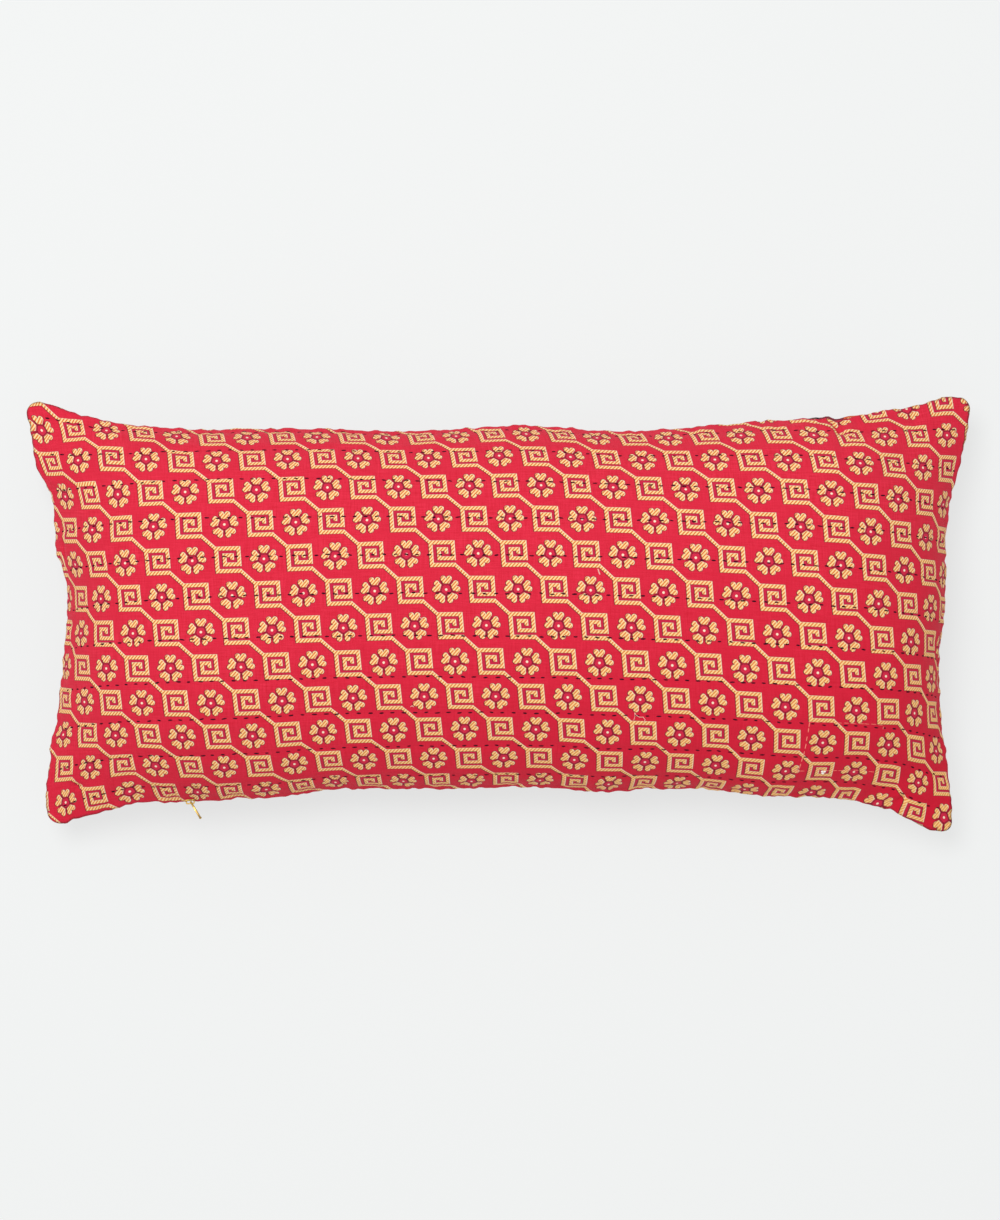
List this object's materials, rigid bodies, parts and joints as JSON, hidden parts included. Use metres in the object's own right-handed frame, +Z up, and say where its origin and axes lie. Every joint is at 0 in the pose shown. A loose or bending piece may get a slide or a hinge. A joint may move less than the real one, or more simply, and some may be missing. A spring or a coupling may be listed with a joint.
{
  "type": "lumbar pillow",
  "caption": "Long rectangular filled cushion of printed, quilted cloth, lying flat on its back, with a zip in one long seam.",
  "frame": {"origin": "under the middle of the pillow, on the surface that it lies on", "axes": "+X along the pillow's length, +Y towards the long seam with no zip, +Z up out of the printed face"},
  "size_m": [0.8959, 0.411, 0.1688],
  "materials": {
    "front_cloth": "matt printed cotton",
    "back_cloth": "matt plain cotton",
    "thread": "matt cotton thread",
    "zip_metal": "polished, a little worn"
  },
  "bodies": {
    "root": {"pillow": "front_cloth", "zip_slider": "zip_metal", "zip_pull": "zip_metal"}
  },
  "joints": []
}
